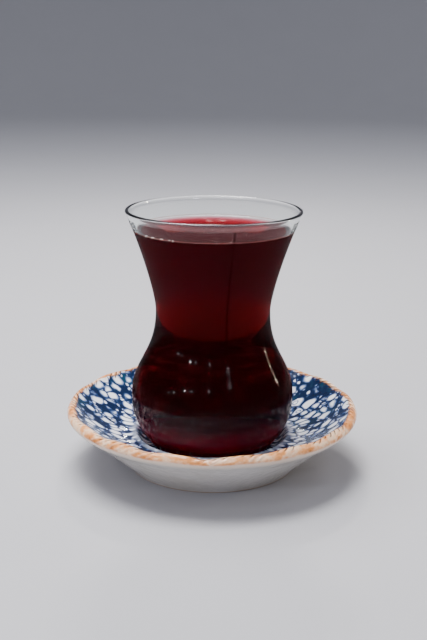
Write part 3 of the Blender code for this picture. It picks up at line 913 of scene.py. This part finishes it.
def light_stage(looks):
    """The light overhead, the small lamps for the glints, the window in front, and the lights on the wall."""
    add_light("key_softbox", KEY_PLACE, KEY_SIZE, looks.key_power, "FFFEFC")
    for index, (turn, rise, share) in enumerate(FRONT_GLINTS):
        turn, rise = math.radians(turn), math.radians(rise)
        away = Vector((math.cos(turn) * math.cos(rise), math.sin(turn) * math.cos(rise), math.sin(rise)))
        add_light(f"front_glint_{index}", Vector(LIGHT_AIM) + away * FRONT_GLINT_DISTANCE, FRONT_GLINT_SIZE,
                  looks.glint_power * share, "F6F8FF")
    for index, aside in enumerate(BACK_GLINTS):
        add_light(f"back_glint_{index}", (aside, *BACK_GLINT_ROW), BACK_GLINT_SIZE,
                  looks.glint_power * BACK_GLINT_SHARE, "FFF8F0")
    for index, aside in enumerate(SURFACE_GLINTS):
        back, height = SURFACE_GLINT_ROW
        add_light(f"surface_glint_{index}", (aside, back, height + SURFACE_GLINT_STEP * (index % 2)),
                  SURFACE_GLINT_SIZE, looks.glint_power * SURFACE_GLINT_SHARE, "FFF4F0")
    add_light("right_strip", STRIP_PLACE, STRIP_SIZE, looks.glint_power * STRIP_SHARE, "FFF3D8")
    add_light("front_window", WINDOW_PLACE, WINDOW_SIZE, looks.window_power, "F4F2FF")
    for index in range(WASH_LIGHTS):
        aside = Matrix.Rotation(index * math.tau / WASH_LIGHTS, 3, 'Z') @ Vector((0.0, 1.0, 0.0))
        add_light(f"wall_wash_{index}", aside * WASH_OUT + Vector((0, 0, WASH_UP)), WASH_SIZE, looks.wash_power,
                  "F2F4FF", aside * WASH_AIM_OUT + Vector((0, 0, WASH_AIM_UP)))


class TEA_GLASS_OT_stage(bpy.types.Operator):
    """Makes the pale floor, the soft lights and the camera"""

    bl_idname = "tea_glass.make_stage"
    bl_label = "Make the stage"

    def execute(self, context):
        looks = context.scene.tea_glass_stage
        # The floor rises to a wall far off all round, so that no horizon shows from any side.
        edge = (FLOOR_RADIUS, 0.0)
        outline = [(0.0, 0.0), (FLOOR_INNER_RADIUS, 0.0), edge] + bend(edge, FLOOR_TO_WALL, WALL_FOOT) + [WALL_TOP]
        floor = finished("paper_floor", spun(outline, FLOOR_STEPS), [studio_paper(looks.floor)])
        light_stage(looks)
        world = bpy.data.worlds.new("soft_room")
        world.use_nodes = True
        world.node_tree.nodes["Background"].inputs["Color"].default_value = opaque("DEE2EA")
        world.node_tree.nodes["Background"].inputs["Strength"].default_value = looks.sky
        context.scene.world = world
        lens = bpy.data.cameras.new("photograph_view")
        lens.lens = CAMERA_LENS
        lens.sensor_width = CAMERA_SENSOR
        lens.clip_start = CAMERA_CLIP_START
        camera = bpy.data.objects.new("photograph_view", lens)
        tilt = Matrix.Rotation(math.pi / 2 - CAMERA_DOWN, 4, 'X')
        camera.matrix_world = Matrix.Translation(CAMERA_PLACE) @ tilt @ Matrix.Rotation(CAMERA_ROLL, 4, 'Z')
        context.scene.collection.objects.link(camera)
        context.scene.camera = camera
        return {'FINISHED'}


class VIEW3D_PT_tea_glass(bpy.types.Panel):
    """Lists the pieces and their sizes"""

    bl_label = "Turkish Tea Glass"
    bl_idname = "VIEW3D_PT_tea_glass"
    bl_space_type = 'VIEW_3D'
    bl_region_type = 'UI'
    bl_category = "Tea Glass"

    def draw(self, context):
        for operators, group in PARTS:
            box = self.layout.box()
            for operator in operators:
                box.operator(operator.bl_idname)
            values = getattr(context.scene, group)
            for name in type(values).__annotations__:
                box.prop(values, name)


PARTS = (
    ((TEA_GLASS_OT_glass,), "tea_glass"),
    ((TEA_GLASS_OT_tea, TEA_GLASS_OT_bubbles), "tea_glass_tea"),
    ((TEA_GLASS_OT_saucer,), "tea_glass_saucer"),
    ((TEA_GLASS_OT_stage,), "tea_glass_stage"),
)
GROUPS = {
    "tea_glass": GlassSizes, "tea_glass_tea": TeaSizes, "tea_glass_saucer": SaucerSizes, "tea_glass_stage": StageLooks,
}


def register():
    for group in GROUPS.values():
        bpy.utils.register_class(group)
    for operators, group in PARTS:
        for operator in operators:
            bpy.utils.register_class(operator)
    bpy.utils.register_class(VIEW3D_PT_tea_glass)
    for name, group in GROUPS.items():
        setattr(bpy.types.Scene, name, PointerProperty(type=group))


def unregister():
    for name in GROUPS:
        delattr(bpy.types.Scene, name)
    bpy.utils.unregister_class(VIEW3D_PT_tea_glass)
    for operators, group in PARTS:
        for operator in operators:
            bpy.utils.unregister_class(operator)
    for group in GROUPS.values():
        bpy.utils.unregister_class(group)


def main():
    register()
    bpy.ops.tea_glass.make_stage()
    bpy.ops.tea_glass.make_saucer()
    bpy.ops.tea_glass.make_glass()
    bpy.ops.tea_glass.make_tea()
    bpy.ops.tea_glass.make_bubbles()


if __name__ == "__main__":
    main()
